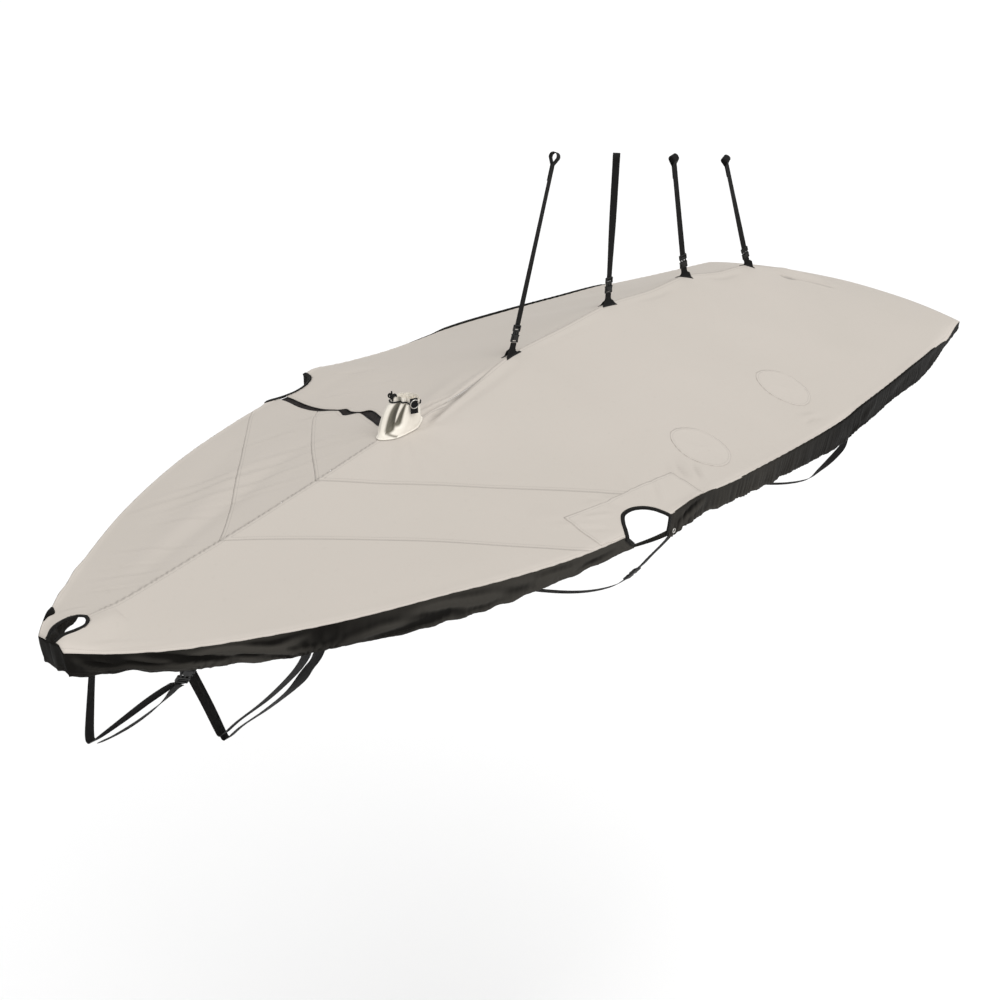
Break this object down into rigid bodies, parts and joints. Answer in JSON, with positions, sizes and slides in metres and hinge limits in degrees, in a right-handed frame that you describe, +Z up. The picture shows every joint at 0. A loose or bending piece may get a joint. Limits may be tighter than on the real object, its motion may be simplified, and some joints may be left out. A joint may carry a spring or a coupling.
{
  "type": "boat cover",
  "caption": "Fitted cloth cover for a small dinghy, with mast collar, dark elastic hem skirt, forestay slot, shroud openings, lifting straps and straps under the hull.",
  "frame": {"origin": "on the centre line at mid length, level with the hem corners at bow and stern, where the covered hull's deck carries the cover", "axes": "+X towards the bow, +Y to port, +Z up"},
  "size_m": [4.2, 1.6054, 1.4623],
  "materials": {
    "cover_cloth": "matt coated canvas, warm light grey",
    "collar_cloth": "soft cream cloth",
    "skirt_cloth": "black elastic hem cloth, slight sheen",
    "black_webbing": "woven black webbing and cord",
    "black_plastic": "moulded black, satin",
    "steel": "nickel-plated"
  },
  "bodies": {
    "root": {"collar_drawcord": "black_webbing", "collar_knot": "black_webbing", "collar_ring": "steel", "collar_tab": "black_webbing", "eyelet_port": "steel", "eyelet_stbd": "steel", "hem_strip_port": "skirt_cloth", "hem_strip_stbd": "skirt_cloth", "hull_buckle_1": "black_plastic", "hull_buckle_3": "black_plastic", "hull_strap_1": "black_webbing", "hull_strap_1_tail": "black_webbing", "hull_strap_1_top": "black_webbing", "hull_strap_2_aft": "black_webbing", "hull_strap_2_fore": "black_webbing", "hull_strap_3": "black_webbing", "hull_strap_3_top": "black_webbing", "hull_strap_4": "black_webbing", "lift_buckle_1": "black_plastic", "lift_buckle_2": "black_plastic", "lift_buckle_3": "black_plastic", "lift_buckle_4": "black_plastic", "lift_foot_1": "black_webbing", "lift_foot_2": "black_webbing", "lift_foot_3": "black_webbing", "lift_foot_4": "black_webbing", "lift_webbing_1": "black_webbing", "lift_webbing_2": "black_webbing", "lift_webbing_3": "black_webbing", "lift_webbing_4": "black_webbing", "mast_collar": "collar_cloth", "round_patch_aft": "cover_cloth", "round_patch_fore": "cover_cloth", "shroud_binding_port": "skirt_cloth", "shroud_binding_stbd": "skirt_cloth", "shroud_patch_port": "cover_cloth", "skirt_aft_port": "skirt_cloth", "skirt_aft_stbd": "skirt_cloth", "skirt_fore_port": "skirt_cloth", "skirt_fore_stbd": "skirt_cloth", "skirt_transom": "skirt_cloth", "slit_tape": "skirt_cloth", "slot_binding": "skirt_cloth", "top_bow_port": "cover_cloth", "top_bow_stbd": "cover_cloth", "top_fore_port": "cover_cloth", "top_fore_stbd": "cover_cloth", "top_main_port": "cover_cloth", "top_main_stbd": "cover_cloth", "top_mid_stbd": "cover_cloth"}
  },
  "joints": []
}
